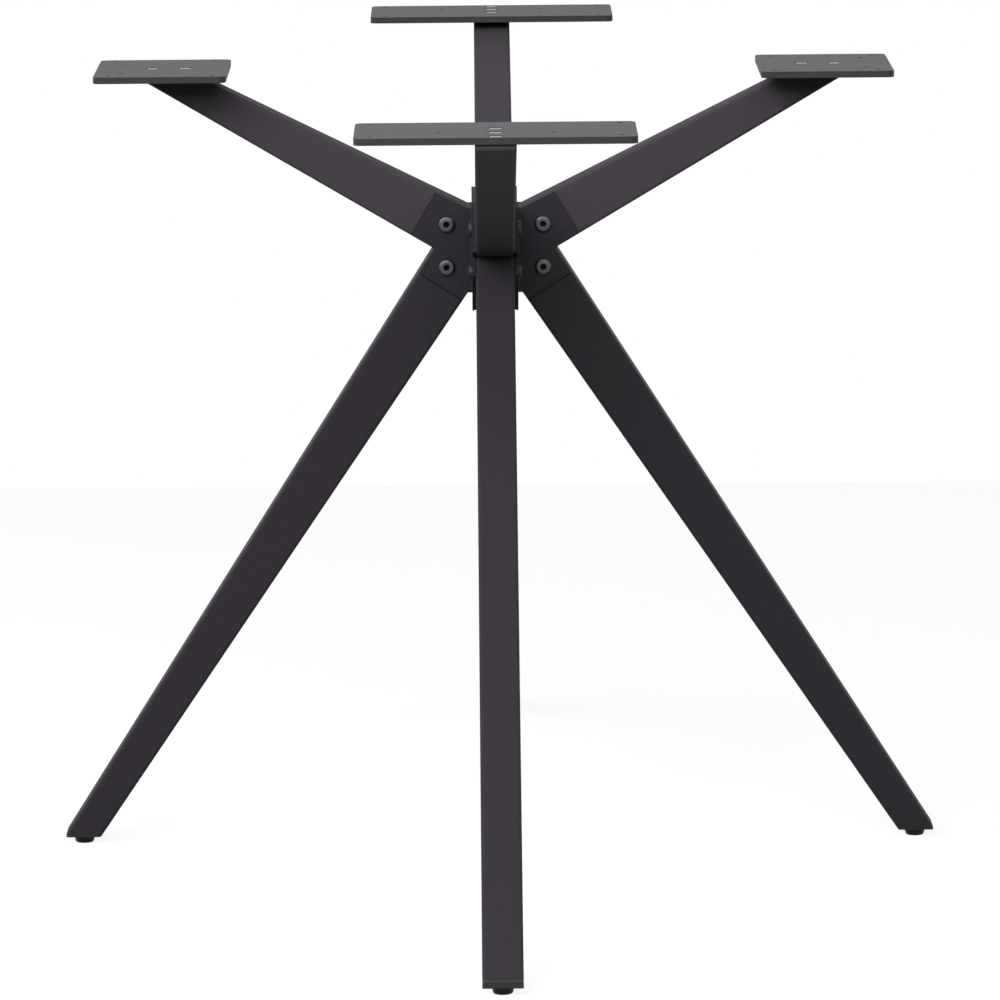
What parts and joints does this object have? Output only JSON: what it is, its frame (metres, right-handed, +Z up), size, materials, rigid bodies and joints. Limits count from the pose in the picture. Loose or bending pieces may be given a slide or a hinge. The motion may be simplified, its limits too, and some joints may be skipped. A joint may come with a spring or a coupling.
{
  "type": "table leg base",
  "caption": "Black steel table base: tapered legs splay down and tapered arms rise from a bracketed hub to drilled top plates, with plastic glides under the feet.",
  "frame": {"origin": "on the floor, under the middle of the hub", "axes": "+Z up; +Y towards the rear long frame; +X towards the right side frame"},
  "size_m": [0.8034, 1.256, 0.72],
  "materials": {
    "powder_coat": "fine-textured satin black powder coat",
    "bracket_bolt": "black oxide steel",
    "plate_screw": "black zinc-plated steel, worn bright at the socket",
    "bush": "turned steel",
    "glide": "black moulded plastic"
  },
  "bodies": {
    "root": {"front_arm_tube": "powder_coat", "front_leg_tube": "powder_coat", "front_arm_end_plate": "powder_coat", "front_foot_cap": "powder_coat", "front_hub_plate": "powder_coat", "front_threaded_bushes": "bush", "front_top_plate": "powder_coat", "front_plate_screws": "plate_screw", "front_glide": "glide", "front_bracket_bolts": "bracket_bolt", "rear_arm_tube": "powder_coat", "rear_leg_tube": "powder_coat", "rear_arm_end_plate": "powder_coat", "rear_foot_cap": "powder_coat", "rear_hub_plate": "powder_coat", "rear_threaded_bushes": "bush", "rear_top_plate": "powder_coat", "rear_plate_screws": "plate_screw", "rear_glide": "glide", "rear_bracket_bolts": "bracket_bolt", "left_arm_tube": "powder_coat", "left_leg_tube": "powder_coat", "left_arm_end_plate": "powder_coat", "left_foot_cap": "powder_coat", "left_hub_plate": "powder_coat", "left_threaded_bushes": "bush", "left_top_plate": "powder_coat", "left_plate_screws": "plate_screw", "left_glide": "glide", "left_bracket_bolts": "bracket_bolt", "right_arm_tube": "powder_coat", "right_leg_tube": "powder_coat", "right_arm_end_plate": "powder_coat", "right_foot_cap": "powder_coat", "right_hub_plate": "powder_coat", "right_threaded_bushes": "bush", "right_top_plate": "powder_coat", "right_plate_screws": "plate_screw", "right_glide": "glide", "right_bracket_bolts": "bracket_bolt", "front_left_bracket": "powder_coat", "front_right_bracket": "powder_coat", "rear_left_bracket": "powder_coat", "rear_right_bracket": "powder_coat"}
  },
  "joints": []
}
